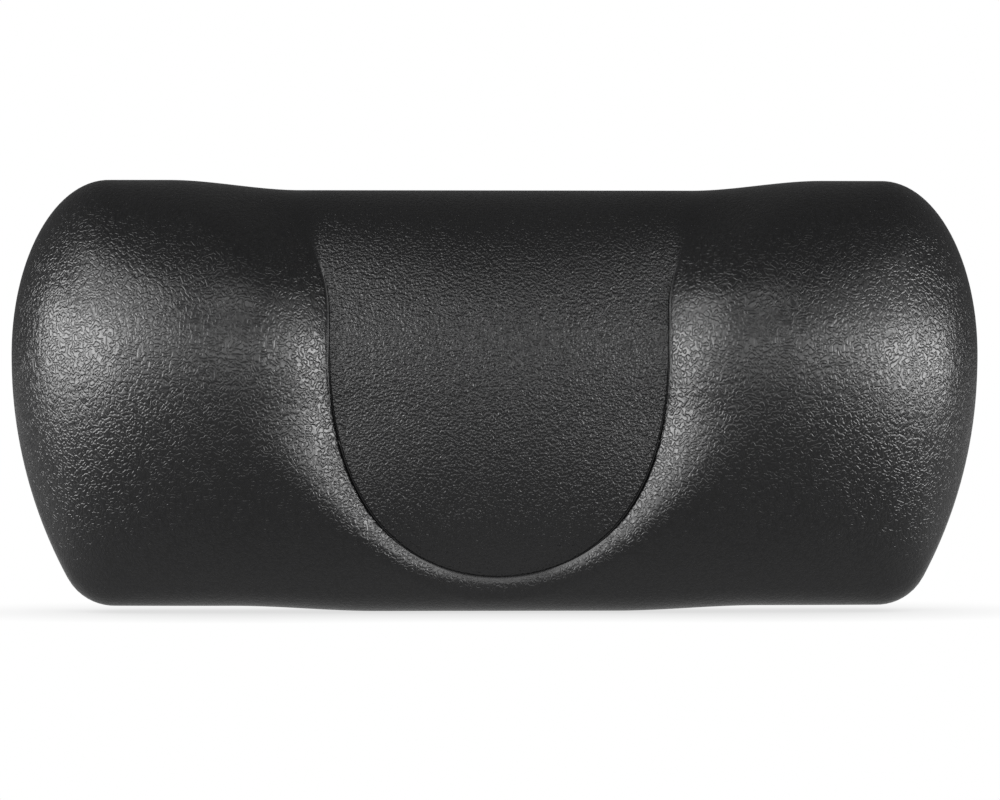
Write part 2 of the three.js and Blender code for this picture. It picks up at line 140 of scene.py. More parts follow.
def studio_white_material():
    """Pale paint that the camera sees as white with a painted contact shadow, and gloss and glass see softly
    lit, gloss as a painted reflection that is dimmer in front.
    """
    material = bpy.data.materials.new("studio_floor_white")
    material.use_nodes = True
    tree = material.node_tree
    tree.nodes.clear()
    path = add_node(tree, "LightPath").outputs
    place = add_node(tree, "TexCoord").outputs["Object"]
    depth = add_node(tree, "SeparateXYZ", {0: place}).outputs["Y"]
    shadow = add_node(tree, "AmbientOcclusion", {"Distance": FLOOR_SHADOW_REACH}).outputs["AO"]
    white = ramp_node(tree, shadow, 0.0, 1.0, FLOOR_SHADOW_TONE, 1.0, "LINEAR")
    direct = math_node(tree, "MAXIMUM", path["Is Camera Ray"], path["Is Transmission Ray"])
    # Painted reflection: glossy rays see the floor glow, dimmer in front of the pillow as painted shade in
    # that reflection.
    painted_reflection = ramp_node(tree, depth, *FLOOR_TURN, FLOOR_PAINTED_REFLECTION_FRONT, FLOOR_PAINTED_REFLECTION_REAR)
    to_camera = math_node(tree, "MULTIPLY", direct, white)
    to_gloss = math_node(tree, "MULTIPLY", path["Is Glossy Ray"], painted_reflection)
    strength = math_node(tree, "MAXIMUM", to_camera, to_gloss)
    glow = add_node(tree, "Emission", {"Strength": strength}).outputs[0]
    paint = add_node(tree, "BsdfDiffuse", {"Color": FLOOR_PAINT}).outputs[0]
    glowing = math_node(tree, "MAXIMUM", direct, path["Is Glossy Ray"])
    mixed = add_node(tree, "MixShader", {0: glowing, 1: paint, 2: glow}).outputs[0]
    add_node(tree, "OutputMaterial", {"Surface": mixed})
    return material


floor_height = skin_low.z - FLOOR_DROP
floor_corners = [(x * FLOOR_SIZE / 2, y * FLOOR_SIZE / 2, floor_height) for x, y in FLOOR_CORNERS]
floor_mesh = bpy.data.meshes.new("studio_floor")
floor_mesh.from_pydata(floor_corners, [], [(0, 1, 2, 3)])
floor_mesh.materials.append(studio_white_material())
floor = bpy.data.objects.new("studio_floor", floor_mesh)
scene.collection.objects.link(floor)

for name, bearing, rise, width, height, power in SOFTBOXES:
    turn, tilt = math.radians(bearing), math.radians(rise)
    lamp_data = bpy.data.lights.new(name, "AREA")
    lamp_data.shape = "RECTANGLE"
    lamp_data.size, lamp_data.size_y, lamp_data.energy = width, height, power
    lamp = bpy.data.objects.new(name, lamp_data)
    lamp.location = (
        SOFTBOX_DISTANCE * math.sin(turn) * math.cos(tilt),
        SPINE_PLANE - SOFTBOX_DISTANCE * math.cos(turn) * math.cos(tilt),
        WIDEST_LINE_HEIGHT + SOFTBOX_DISTANCE * math.sin(tilt),
    )
    lamp.rotation_euler = (QUARTER - tilt, 0.0, turn)
    scene.collection.objects.link(lamp)

world = bpy.data.worlds.new("studio_air")
world.use_nodes = True
air = world.node_tree
air.nodes.clear()
air_path = add_node(air, "LightPath").outputs
air_direct = math_node(air, "MAXIMUM", air_path["Is Camera Ray"], air_path["Is Transmission Ray"])
air_mirrored = math_node(air, "MULTIPLY", air_path["Is Glossy Ray"], AIR_MIRRORED)
air_seen = math_node(air, "MAXIMUM", air_direct, math_node(air, "MAXIMUM", air_mirrored, AIR_LIT))
air_glow = add_node(air, "Background", {"Color": AIR_TONE, "Strength": air_seen}).outputs[0]
add_node(air, "OutputWorld", {"Surface": air_glow})
scene.world = world

# Tee nuts
# A zinc-plated steel nut in each anchor disc: a hexagonal flange that the disc's socket keeps from
# turning, and a barrel with an M6 thread that ends level with the floor of the pillow's well.
SIDES = ("left", "right")
FULL_TURN = 4 * QUARTER
ROUND_STEPS = 72
RING_TURNS = np.arange(ROUND_STEPS) / ROUND_STEPS
RING_ANGLES = np.arange(ROUND_STEPS) * FULL_TURN / ROUND_STEPS
THREAD_PITCH = 0.001
THREAD_ROWS_PER_TURN = 10
NUT_THREAD_DEPTH = 0.00025
NUT_FLANGE_THICKNESS = 0.002
NUT_BORE_RADIUS = 0.00315
NUT_BARREL_RADIUS = 0.00405
EDGE_ROUND = 0.00025
WELD_DISTANCE = 2e-6
SHARP_BEND = math.radians(40)
NUT_SHARP_BEND = math.radians(35)
STEEL_TONE = (0.60, 0.61, 0.63, 1.0)
STEEL_CLOUD_TONE = (0.50, 0.51, 0.54, 1.0)
STEEL_CLOUD_SCALE = 320.0
STEEL_GLOSS = (0.24, 0.38)
SPANGLE_SCALE = 900.0
SCRATCH_SCALE = 2500.0
SCRATCH_DEPTH = 0.00002


def fixing(node):
    """A fixing's CAD node: its axis's x, how far its back and its front are from the wall, its radius."""
    low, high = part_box(node)
    return (low.x + high.x) / 2, -high.y, -low.y, (high.z - low.z) / 2


def hexagon(corner_radius, cut=0.0):
    """Radius of a hexagon round its ring, with its corners above and below the axis, less a cut."""
    turn = np.mod(RING_ANGLES - QUARTER / 3, QUARTER * 2 / 3) - QUARTER / 3
    return corner_radius * math.cos(QUARTER / 3) / np.cos(turn) - cut


def band_faces(rings, closed=False):
    """Triangles between neighbouring rings of point numbers. If closed, the last also meets the first."""
    here, there = (rings, np.roll(rings, -1, 0)) if closed else (rings[:-1], rings[1:])
    here_next, there_next = np.roll(here, -1, 1), np.roll(there, -1, 1)
    first = np.stack((here_next, here, there), -1).reshape(-1, 3)
    second = np.stack((here_next, there, there_next), -1).reshape(-1, 3)
    return np.concatenate((first, second))


def revolved(profile, axis_x, closed=False):
    """Rings about a cup's axis: each row of radius and distance from the wall, turned through a full circle.

    A radius may also vary round its ring. Outward is to the left of the profile's way. Rows of no
    radius become a fan to one point. Gives vertices and faces.
    """
    radius, forward = (np.stack([np.broadcast_to(row[k], ROUND_STEPS) for row in profile]) for k in (0, 1))
    across, up = axis_x + radius * np.cos(RING_ANGLES), radius * np.sin(RING_ANGLES)
    number = np.arange(radius.size).reshape(radius.shape)
    pole = (radius == 0).all(1)
    number[pole] = number[pole, :1]
    faces = band_faces(number, closed)
    whole = (faces != np.roll(faces, 1, 1)).all(1)
    return np.stack((across, -forward, up), -1).reshape(-1, 3), faces[whole]


def add_piece(name, shape, material, body, node, bend=SHARP_BEND):
    """A smooth-shaded mesh in place of a CAD node, riding on its body.

    Given a bend, it is welded and its edges that bend by more are marked as sharp.
    """
    vertices, triangles = shape
    mesh = bpy.data.meshes.new(name)
    mesh.from_pydata(vertices, [], triangles.tolist())
    if bend:
        shell = bmesh.new()
        shell.from_mesh(mesh)
        bmesh.ops.remove_doubles(shell, verts=shell.verts, dist=WELD_DISTANCE)
        shell.to_mesh(mesh)
        shell.free()
    mesh.update()
    mesh.shade_smooth()
    if bend:
        mesh.set_sharp_from_angle(angle=bend)
    mesh.materials.append(material)
    piece = bpy.data.objects.new(name, mesh)
    scene.collection.objects.link(piece)
    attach(piece, body)
    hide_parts(node)
    return piece


def principled(name, inputs):
    """A material, its tree, its principled shader with the inputs fed, and the piece's own coordinates."""
    material = bpy.data.materials.new(name)
    material.use_nodes = True
    tree = material.node_tree
    shader = tree.nodes["Principled BSDF"]
    for key, value in inputs.items():
        feed(tree, shader.inputs[key], value)
    return material, tree, shader, add_node(tree, "TexCoord").outputs["Object"]


def texture(tree, kind, vector, scale, output, **inputs):
    """The named output of a noise or Voronoi texture on the given coordinates."""
    return add_node(tree, "Tex" + kind, {"Vector": vector, "Scale": scale, **inputs}).outputs[output]


def noise(tree, vector, scale, detail):
    """The value of a noise texture on the given coordinates."""
    return texture(tree, "Noise", vector, scale, "Fac", Detail=detail)


def blend(tree, share, low, high, kind="FLOAT"):
    """The output of a mix node from low to high, which are outputs or values."""
    return add_node(tree, "Mix", {"Factor": share, "A": low, "B": high}, data_type=kind).outputs["Result"]


def add_bump(tree, shader, height, distance):
    """Tilts the shader's normals by a height map, over any bump that it already has."""
    bump = add_node(tree, "Bump", {"Distance": distance, "Height": height})
    if shader.inputs["Normal"].links:
        feed(tree, bump.inputs["Normal"], shader.inputs["Normal"].links[0].from_socket)
    feed(tree, shader.inputs["Normal"], bump.outputs["Normal"])


def zinc_plated_steel():
    """Bright zinc plate: fine spangle in its gloss, clouds in its colour, and faint machining scratches."""
    material, tree, shader, place = principled("zinc_plated_steel", {"Metallic": 1.0})
    cloud = noise(tree, place, STEEL_CLOUD_SCALE, 4.0)
    feed(tree, shader.inputs["Base Color"], blend(tree, cloud, STEEL_TONE, STEEL_CLOUD_TONE, "RGBA"))
    spangle = add_node(tree, "RGBToBW", {0: texture(tree, "Voronoi", place, SPANGLE_SCALE, "Color")})
    feed(tree, shader.inputs["Roughness"], ramp_node(tree, spangle.outputs[0], 0.0, 1.0, *STEEL_GLOSS))
    add_bump(tree, shader, noise(tree, place, SCRATCH_SCALE, 3.0), SCRATCH_DEPTH)
    return material


steel = zinc_plated_steel()
for side in SIDES:
    axis_x, nut_back, nut_front, flange_radius = fixing("tee_nut_" + side)
    flange_back = nut_front - NUT_FLANGE_THICKNESS
    row_count = int((nut_front - nut_back) / THREAD_PITCH * THREAD_ROWS_PER_TURN)
    rows = np.linspace(nut_back + EDGE_ROUND, nut_front - EDGE_ROUND, row_count)
    wave = 0.5 + 0.5 * np.cos(FULL_TURN * (rows[:, None] / THREAD_PITCH - RING_TURNS))
    run_in = np.clip(np.minimum(rows - nut_back, nut_front - rows)[:, None] / THREAD_PITCH, 0, 1)
    bore = NUT_BORE_RADIUS + NUT_THREAD_DEPTH * wave * run_in
    profile = (
        *zip(bore, rows),
        (NUT_BORE_RADIUS + EDGE_ROUND, nut_front),
        (hexagon(flange_radius, EDGE_ROUND * 3), nut_front),
        (hexagon(flange_radius), nut_front - EDGE_ROUND),
        (hexagon(flange_radius), flange_back + EDGE_ROUND),
        (hexagon(flange_radius, EDGE_ROUND), flange_back),
        (NUT_BARREL_RADIUS + EDGE_ROUND, flange_back),
        (NUT_BARREL_RADIUS, flange_back - EDGE_ROUND),
        (NUT_BARREL_RADIUS, nut_back + EDGE_ROUND),
        (NUT_BARREL_RADIUS - EDGE_ROUND, nut_back),
        (NUT_BORE_RADIUS + EDGE_ROUND, nut_back),
    )
    nut = revolved(profile, axis_x, closed=True)
    add_piece("threaded_nut_" + side, nut, steel, "pillow", "tee_nut_" + side, NUT_SHARP_BEND)

# Anchor discs
# A stiff polypropylene disc behind each well, moulded into the foam, which grows through its six
# holes. It spreads the cup's pull, and its boss has the hexagonal socket for the tee nut.
DISC_THICKNESS = 0.003
DISC_HOLES = 6
DISC_HOLE_RADIUS = 0.004
DISC_HOLE_CIRCLE = 0.021
DISC_HOLE_TURNS = (np.arange(DISC_HOLES) + 0.5) * FULL_TURN / DISC_HOLES
DISC_EDGE_ROUND = 0.0006
CORNER_STEPS = 4
FACE_RINGS = 5
SOCKET_WALL = 0.0024
SOCKET_PLAY = 0.0003
BOSS_ROUND = 0.0008
DISC_TONE = (0.70, 0.68, 0.62, 1.0)
DISC_TRANSLUCENCE = 0.15
DISC_LIGHT_REACH = 0.002
DISC_CLOUD_SCALE = 90.0
DISC_GLOSS = (0.36, 0.5)
DISC_GRAIN_SCALE = 3200.0
DISC_GRAIN_DEPTH = 0.00003
NOISE_SPREAD = (0.3, 0.7)


def off_white_plastic():
    """Satin polypropylene: a faint spark-eroded grain and a slight cloudiness."""
    inputs = {
        "Base Color": DISC_TONE,
        "Subsurface Weight": DISC_TRANSLUCENCE,
        "Subsurface Scale": DISC_LIGHT_REACH,
    }
    material, tree, shader, place = principled("off_white_polypropylene", inputs)
    cloud = noise(tree, place, DISC_CLOUD_SCALE, 5.0)
    feed(tree, shader.inputs["Roughness"], ramp_node(tree, cloud, *NOISE_SPREAD, *DISC_GLOSS))
    grain = noise(tree, place, DISC_GRAIN_SCALE, 4.0)
    add_bump(tree, shader, grain, DISC_GRAIN_DEPTH)
    return material


def lerp(a, b, t):
    """The value a share t of the way from a to b."""
    return a + (b - a) * t


def rounded(*corners):
    """A profile of radius and distance from the wall. A corner's third number is the radius of its arc."""
    points = [np.array(corners[0][:2])]
    for before, corner, after in zip(corners, corners[1:], corners[2:]):
        tip, radius = np.array(corner[:2]), corner[2]
        if radius == 0:
            points.append(tip)
            continue
        back = np.array(before[:2]) - tip
        ahead = np.array(after[:2]) - tip
        back, ahead = back / np.linalg.norm(back), ahead / np.linalg.norm(ahead)
        half = math.acos(float(np.clip(back @ ahead, -1, 1))) / 2
        centre = tip + (back + ahead) / np.linalg.norm(back + ahead) * radius / math.sin(half)
        start, end = (tip + way * radius / math.tan(half) - centre for way in (back, ahead))
        for share in np.linspace(0, 1, CORNER_STEPS + 1):
            spoke = lerp(start, end, share)
            points.append(centre + spoke * radius / np.linalg.norm(spoke))
    points.append(np.array(corners[-1][:2]))
    return np.array(points)


def joined(*parts):
    """Several meshes of vertices and triangles as one."""
    starts = np.cumsum([0] + [len(vertices) for vertices, _ in parts])
    triangles = [faces + start for (_, faces), start in zip(parts, starts)]
    return np.concatenate([vertices for vertices, _ in parts]), np.concatenate(triangles)


def six_fold(flat, forward, faces, axis_x):
    """Six turned copies of a mesh about a cup's axis, from places across and up and from the wall."""
    parts = []
    for turn in DISC_HOLE_TURNS:
        cos, sin = math.cos(turn), math.sin(turn)
        across, up = (flat @ np.array(((cos, sin), (-sin, cos)))).T
        parts.append((np.stack((axis_x + across, -forward, up), -1), faces))
    return joined(*parts)


def sixth_outline(inner, outer):
    """Outline of a sixth of a ring: along the inner arc, out, back along the outer arc and in again."""
    steps = ROUND_STEPS // DISC_HOLES
    half = FULL_TURN / DISC_HOLES / 2
    sweep = np.linspace(-half, half, steps + 1)
    out = np.linspace(inner, outer, steps + 1)
    radius = np.concatenate((np.full(steps, inner), out[:-1], np.full(steps, outer), out[:0:-1]))
    angle = np.concatenate((sweep[:-1], np.full(steps, half), sweep[:0:-1], np.full(steps, -half)))
    return np.stack((radius * np.cos(angle), radius * np.sin(angle)), -1)


def hole_edge(outline):
    """The edge of the round hole in a sixth: one point towards each point of the outline."""
    centre = np.array((DISC_HOLE_CIRCLE, 0.0))
    spoke = outline - centre
    return centre + DISC_HOLE_RADIUS * spoke / np.linalg.norm(spoke, axis=1, keepdims=True)


def perforated(outline, hole, forward, axis_x, facing):
    """A flat ring with six holes, each sixth lofted from its outline to its hole. It faces the wall if -1."""
    flat = lerp(outline, hole, np.linspace(0, 1, FACE_RINGS)[:, None, None]).reshape(-1, 2)
    faces = band_faces(np.arange(len(flat)).reshape(FACE_RINGS, -1))
    return six_fold(flat, np.full(len(flat), forward), faces[:, ::facing], axis_x)


disc_plastic = off_white_plastic()
for side in SIDES:
    node = "anchor_disc_" + side
    axis_x, disc_back, boss_front, disc_radius = fixing(node)
    disc_front = disc_back + DISC_THICKNESS
    disc_flat = disc_radius - 2 * DISC_EDGE_ROUND
    socket = fixing("tee_nut_" + side)[3] + SOCKET_PLAY
    boss = socket + SOCKET_WALL
    boss_foot = boss + 2 * BOSS_ROUND
    bore = NUT_BARREL_RADIUS + SOCKET_PLAY
    rim = rounded(
        (disc_flat, disc_front),
        (disc_radius, disc_front, DISC_EDGE_ROUND),
        (disc_radius, disc_back, DISC_EDGE_ROUND),
        (disc_flat, disc_back),
    )
    hub = (
        *rounded((boss, disc_back), (bore, disc_back, EDGE_ROUND), (bore, disc_front)),
        (hexagon(socket), disc_front),
        (hexagon(socket), boss_front - EDGE_ROUND),
        (hexagon(socket, -EDGE_ROUND), boss_front),
        *rounded(
            (boss - BOSS_ROUND, boss_front),
            (boss, boss_front, EDGE_ROUND),
            (boss, disc_front, BOSS_ROUND),
            (boss_foot, disc_front),
        ),
    )
    back_outline = sixth_outline(boss, disc_flat)
    hole = hole_edge(back_outline)
    hole_faces = band_faces(np.arange(2 * len(hole)).reshape(2, -1))[:, ::-1]
    disc = joined(
        revolved(rim, axis_x),
        revolved(hub, axis_x),
        perforated(back_outline, hole, disc_back, axis_x, -1),
        perforated(sixth_outline(boss_foot, disc_flat), hole, disc_front, axis_x, 1),
        six_fold(np.tile(hole, (2, 1)), np.repeat((disc_back, disc_front), len(hole)), hole_faces, axis_x),
    )
    add_piece("anchor_disc_moulding_" + side, disc, disc_plastic, "pillow", node)

# Foam core
# The pillow's soft filling: polyurethane foam poured into the same mould as the skin. It wraps the
# anchor discs, grows through their holes in six pegs, and leaves a well for each suction cup.
HALF_LENGTH = (skin_high.x - skin_low.x) / 2
TOP_RISE = 0.056
BASE_DROP = 0.080
FRONT_REACH = 0.048
BACK_REACH = 0.024
TOP_END_LENGTH = 0.031
FRONT_END_LENGTH = 0.073
FRONT_END_POWER = 1.85
FRONT_END_ROOT = 0.58
BACK_END_LENGTH = 0.016
SIDE_RADIUS = 0.148
FRONT_RADIUS = 0.115
FOOT_RADIUS = 0.017
BACK_BROW_RISE = 0.026
BACK_FOOT_RISE = 0.018
BACK_FOOT_DEPTH = 0.020
BELLY_DROP = 0.0017
BELLY_FLAT = 0.038
BELLY_END = 0.084
SCOOP_HALF_WIDTH = 0.0536
SCOOP_BOTTOM = 0.0713
SCOOP_FOOT_POWER = 1.5
SCOOP_KNEE = 0.012
SCOOP_FLARE = 0.009
SCOOP_FLARE_START = 0.018
SCOOP_FLARE_RISE = 0.050
SCOOP_DEPTH = 0.013
SCOOP_FOOT_DEPTH = 0.0035
SCOOP_BROW_DEPTH = 0.0032
SCOOP_DEEPEST = 0.015
SCOOP_CROWN = 0.007
FLANK_WIDTH = 0.030
FLANK_FOOT_WIDTH = 0.0055
FLANK_BROW_WIDTH = 0.042
SKIN_THICKNESS = 0.0016
LAYER_PLAY = 0.0003
WELL_RADIUS = 0.0255
WELL_DRAFT = 0.0012
WELL_DEPTH = 0.010
RIM_MARGIN = 0.0012
BROW_GIRTH = TOP_RISE * QUARTER
BACK_BROW_GIRTH = BACK_BROW_RISE * QUARTER
END_PLACE = 5.0
TINY = 1e-9
TINY_AREA = 1e-15
CORE_MIDDLE_STEPS = 90
CORE_END_STEPS = 26
CORE_STRETCH_STEPS = (30, 12, 8, 12, 44, 40, 18)
PORE_SHADE_TONE = (0.030, 0.030, 0.032, 1.0)
PORE_TONE = (0.062, 0.062, 0.064, 1.0)
PORE_SHADE_STOPS = (0.1, 0.6, 0.2, 1.0)
PORE_SCALE = 900.0
PORE_STOPS = (0.15, 0.55)
PORE_DEPTH = 0.0005
FINE_PORE_SCALE = 2100.0
FINE_PORE_STOPS = (0.1, 0.6)
FINE_PORE_DEPTH = 0.0002
FOAM_MOTTLE_SCALE = 60.0
FOAM_ROUGHNESS = 0.9


def smooth(value, start=0.0, end=1.0):
    """0 before start, 1 past end, and an S-shaped step between them."""
    s = np.clip((value - start) / (end - start), 0.0, 1.0)
    return s * s * (3.0 - 2.0 * s)


def foot_arcs(reach, radius):
    """Centres of a long side arc and of the foot arc inside it, and the angle where they meet."""
    side = reach - radius
    rise = BASE_DROP - FOOT_RADIUS
    run = math.sqrt((radius - FOOT_RADIUS) ** 2 - rise**2)
    return side, side + run, math.atan2(rise, run)


def end_share(x, stretch, power=2.0, root=0.5):
    """How much of a half extent is left at x: the last stretch closes as a quarter of an oval."""
    t = np.maximum(np.abs(x) - HALF_LENGTH + stretch, 0.0) / stretch
    return np.maximum(1.0 - t**power, 0.0) ** root


def base_drop(x):
    """Depth of the base under the spine: belly and flat, then the foot arc, then the side arc."""
    side, foot, angle = foot_arcs(HALF_LENGTH, SIDE_RADIUS)
    reach = np.abs(x)
    on_side = np.sqrt(np.maximum(SIDE_RADIUS**2 - (reach - side) ** 2, 0.0))
    round_part = np.sqrt(np.maximum(FOOT_RADIUS**2 - np.maximum(reach - foot, 0.0) ** 2, 0.0))
    on_foot = BASE_DROP - FOOT_RADIUS + round_part + BELLY_DROP * smooth(reach, BELLY_END, BELLY_FLAT)
    return np.where(reach > side + SIDE_RADIUS * math.cos(angle), on_side, on_foot)


def section(place):
    """Cross-section by place, whose whole number is the stretch and whose fraction is the share along it.

    0 back panel, 1 heel oval, 2 base, 3 toe arc, 4 lower front arc, 5 upper front oval, 6 brow oval.
    Gives forward and up of the spine, the outward direction, and the climb that the scoop is laid on:
    the height on the lower front, the girth above the spine, and no number on the back.
    """
    side, toe, angle = foot_arcs(FRONT_REACH, FRONT_RADIUS)
    heel = BACK_FOOT_DEPTH - BACK_REACH
    stretch = np.clip(np.floor(place), 0, 6).astype(int)
    t = place - stretch
    zero = np.zeros_like(t)

    def oval(centre_u, centre_v, radius_u, radius_v, turn):
        cos, sin = np.cos(turn), np.sin(turn)
        return centre_u + radius_u * cos, centre_v + radius_v * sin, cos / radius_u, sin / radius_v

    rise = lerp(TOP_RISE - BACK_BROW_RISE, BACK_FOOT_RISE - BASE_DROP, t)
    panel = (zero - BACK_REACH, rise, zero - 1.0, zero)
    back = oval(heel, BACK_FOOT_RISE - BASE_DROP, BACK_FOOT_DEPTH, BACK_FOOT_RISE, (2 + t) * QUARTER)
    base = (lerp(heel, toe, t), zero - BASE_DROP, zero, zero - 1.0)
    toe_arc = oval(toe, FOOT_RADIUS - BASE_DROP, FOOT_RADIUS, FOOT_RADIUS, lerp(-QUARTER, -angle, t))
    shin = oval(side, 0.0, FRONT_RADIUS, FRONT_RADIUS, (t - 1) * angle)
    front = oval(0.0, 0.0, FRONT_REACH, TOP_RISE, t * QUARTER)
    brow = oval(0.0, TOP_RISE - BACK_BROW_RISE, BACK_REACH, BACK_BROW_RISE, (1 + t) * QUARTER)
    parts = zip(panel, back, base, toe_arc, shin, front, brow)
    u, v, nu, nv = (np.choose(stretch, part) for part in parts)
    over_brow = BROW_GIRTH + BACK_BROW_GIRTH * t
    climbs = (zero + np.nan, zero + np.nan, base[1], toe_arc[1], shin[1], BROW_GIRTH * t, over_brow)
    size = np.hypot(nu, nv)
    return u, v, nu / size, nv / size, np.choose(stretch, climbs)


def from_crease(x, climb):
    """Signed distance from the scoop's crease: a U with a rounded foot that flares towards the brow."""
    reach = np.abs(x)
    height = SCOOP_KNEE + SCOOP_BOTTOM
    power = SCOOP_FOOT_POWER
    across = reach / SCOOP_HALF_WIDTH
    down = np.maximum(SCOOP_KNEE - climb, TINY) / height
    level = np.hypot(across, down**power)
    slope = np.hypot(across / SCOOP_HALF_WIDTH, power * down ** (2 * power - 1) / height) / level
    flare = SCOOP_FLARE * smooth(climb, SCOOP_FLARE_START, SCOOP_FLARE_START + SCOOP_FLARE_RISE)
    away = np.where(climb >= SCOOP_KNEE, reach - SCOOP_HALF_WIDTH - flare, (level - 1.0) / slope)
    return np.where(np.isnan(climb), HALF_LENGTH, away)


def scoop_depth(x, climb):
    """Depth below the plain bolster: a crowned floor in the crease, and a flank that rolls up to the lobe."""
    low = smooth(climb, -SCOOP_BOTTOM, -SCOOP_DEEPEST)
    high = smooth(climb, SCOOP_DEEPEST, BROW_GIRTH)
    fade = 1.0 - smooth(climb, BROW_GIRTH, BROW_GIRTH + BACK_BROW_GIRTH)
    depth = lerp(lerp(SCOOP_FOOT_DEPTH, SCOOP_DEPTH, low), SCOOP_BROW_DEPTH, high) * fade
    width = lerp(lerp(FLANK_FOOT_WIDTH, FLANK_WIDTH, low), FLANK_BROW_WIDTH, high)
    away = from_crease(x, climb) / width
    rolled = np.maximum(1.0 - np.maximum(away, 0.0), 0.0) ** 2
    flank = depth * lerp(rolled, 1.0 - smooth(away), high)
    across = x / (SCOOP_HALF_WIDTH + SCOOP_FLARE * high)
    crown = SCOOP_CROWN * low * (1.0 - high) * np.maximum(1.0 - across**2, 0.0)
    return np.where(np.isnan(climb), 0.0, np.where(away > 0.0, flank, depth - crown))


def pillow_surface(x, place, sunk=0.0):
    """Points of the skin: the section scaled to the outline at x, moved in along its normal by the scoop."""
    u, v, nu, nv, climb = section(place)
    front_share = end_share(x, FRONT_END_LENGTH, FRONT_END_POWER, FRONT_END_ROOT)
    scale_u = np.where(u > 0, front_share, end_share(x, BACK_END_LENGTH))
    scale_v = np.where(v > 0, end_share(x, TOP_END_LENGTH), base_drop(x) / BASE_DROP)
    depth = scoop_depth(x, climb) + sunk
    forward, up = u * scale_u - depth * nu, v * scale_v - depth * nv
    return np.stack((x, SPINE_PLANE - forward, WIDEST_LINE_HEIGHT + up), axis=-1)


def from_well(x, place, radius):
    """Signed distance on the back panel from a circle about the nearer cup's axis."""
    height = WIDEST_LINE_HEIGHT + section(place)[1]
    distance = np.hypot(np.abs(x) - cup_x, height) - radius
    return np.where(place < 1.0, distance, HALF_LENGTH)


def snapped(distance, x, place, direct=False):
    """Moves grid places onto a curve: where distance changes sign along a grid edge, its nearer end moves.

    If direct, only edges along which distance changes faster than across them count.
    """
    best = np.full(x.shape, np.inf)
    to_x, to_place = x.copy(), place.copy()
    change = [np.abs(np.nan_to_num(np.gradient(distance, axis=k))) for k in (0, 1)]
    for axis in (0, 1):
        for step in (1, -1):
            ahead = np.roll(distance, -step, axis)
            np.moveaxis(ahead, axis, 0)[-1 if step > 0 else 0] = np.nan
            crossing = distance * ahead < 0
            if direct:
                crossing &= change[axis] >= change[1 - axis]
            share = np.where(crossing, distance / np.where(crossing, distance - ahead, 1.0), np.inf)
            nearer = (share <= 0.5) & (share < best)
            move = np.where(nearer, share, 0.0)
            best = np.where(nearer, share, best)
            to_x = np.where(nearer, lerp(x, np.roll(x, -step, axis), move), to_x)
            to_place = np.where(nearer, lerp(place, np.roll(place, -step, axis), move), to_place)
    return to_x, to_place, np.isfinite(best)


def even_places(stretch_steps):
    """Columns along the section, even in each stretch."""
    return np.concatenate([k + np.arange(steps) / steps for k, steps in enumerate(stretch_steps)])


def pillow_grid(middle_steps, end_steps, places, rim_radius):
    """A closed grid of triangles on the pillow, with edges along the crease and two open circles in the back.

    Its columns are places along the cross-section and its rows run from end to end, closer at the ends.
    Each square is cut along its shorter diagonal, unless that would cross the crease or a circle.
    """
    crest = HALF_LENGTH - FRONT_END_LENGTH
    end = crest + FRONT_END_LENGTH * np.sin(QUARTER * np.arange(1, end_steps + 1) / end_steps)
    xs = np.concatenate((-end[::-1], np.linspace(-crest, crest, middle_steps + 1), end))[1:-1]
    x, place = (grid.copy() for grid in np.meshgrid(xs, places, indexing="ij"))
    climb = section(place)[4]
    crossed = np.where(climb < BROW_GIRTH, from_crease(x, climb), np.nan)
    x, place, on_crease = snapped(crossed, x, place, direct=True)
    well = np.where(place < 1.0, from_well(x, place, rim_radius), np.nan)
    x, place, on_rim = snapped(well, x, place)
    crease = np.where(on_crease, 0.0, from_crease(x, section(place)[4])).ravel()
    well = np.where(on_rim, 0.0, from_well(x, place, rim_radius)).ravel()
    points = pillow_surface(x, place).reshape(-1, 3)
    number = np.arange(x.size).reshape(x.shape)
    here, there = number[:-1], number[1:]
    here_next, there_next = np.roll(here, -1, 1), np.roll(there, -1, 1)
    rising = np.linalg.norm(points[here] - points[there_next], axis=-1)
    falling = np.linalg.norm(points[there] - points[here_next], axis=-1)
    along = rising <= falling
    for field, on in ((crease, on_crease.ravel()), (well, on_rim.ravel())):
        along |= field[there] * field[here_next] < 0
        along &= ~(field[here] * field[there_next] < 0)
        along &= ~(on[there] & on[here_next])
        along |= on[here] & on[there_next]
    along = along[..., None]
    corners = [np.stack(c, -1) for c in ((here, there, there_next), (here, there, here_next))]
    first = np.where(along, *corners).reshape(-1, 3)
    corners = [np.stack(c, -1) for c in ((here, there_next, here_next), (there, there_next, here_next))]
    second = np.where(along, *corners).reshape(-1, 3)
    pole = np.full(x.shape[1], x.size)
    fans = (
        np.stack((pole, number[0], np.roll(number[0], -1)), -1),
        np.stack((pole + 1, np.roll(number[-1], -1), number[-1]), -1),
    )
    triangles = np.concatenate((first, second) + fans)
    well = np.append(well, (1.0, 1.0))
    return {
        "x": np.append(x.ravel(), (-HALF_LENGTH, HALF_LENGTH)),
        "place": np.append(place.ravel(), (END_PLACE, END_PLACE)),
        "crease": np.append(crease, (HALF_LENGTH, HALF_LENGTH)),
        "on_crease": np.append(on_crease.ravel(), (False, False)),
        "on_rim": np.append(on_rim.ravel(), (False, False)),
        "triangles": triangles[well[triangles].sum(1) > TINY],
    }


def moved_in(grid, depth):
    """Points of a grid moved in from the pillow's surface, against their area-weighted normals."""
    vertices, triangles = pillow_surface(grid["x"], grid["place"]), grid["triangles"]
    corners = vertices[triangles]
    face = np.cross(corners[:, 1] - corners[:, 0], corners[:, 2] - corners[:, 0])
    sums = [np.bincount(triangles.ravel(), np.repeat(face[:, k], 3), len(vertices)) for k in range(3)]
    normal = np.stack(sums, -1)
    return vertices - depth * normal / np.maximum(np.linalg.norm(normal, axis=1, keepdims=True), TINY_AREA)


